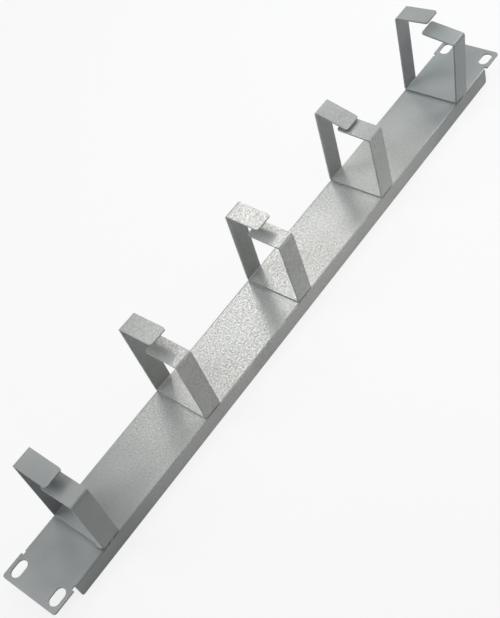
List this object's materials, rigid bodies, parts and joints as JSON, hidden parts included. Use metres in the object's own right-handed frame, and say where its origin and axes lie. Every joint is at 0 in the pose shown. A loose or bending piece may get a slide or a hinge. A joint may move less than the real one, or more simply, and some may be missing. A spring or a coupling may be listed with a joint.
{
  "type": "horizontal cable manager",
  "caption": "One-unit rack panel in folded sheet steel, with a row of open D-shaped cable rings standing on its face and slotted ears for the rack screws.",
  "frame": {"origin": "on the plane of the flanges' free edges, under the middle of the panel", "axes": "+X along the panel, +Y towards the rings' tall side, +Z out of the panel's face, the way the rings stand"},
  "size_m": [0.4826, 0.0486, 0.0781],
  "materials": {
    "painted_steel": "semi-gloss silver-grey hammertone paint"
  },
  "bodies": {
    "root": {"panel": "painted_steel", "ring_1": "painted_steel", "ring_2": "painted_steel", "ring_3": "painted_steel", "ring_4": "painted_steel", "ring_5": "painted_steel"}
  },
  "joints": []
}
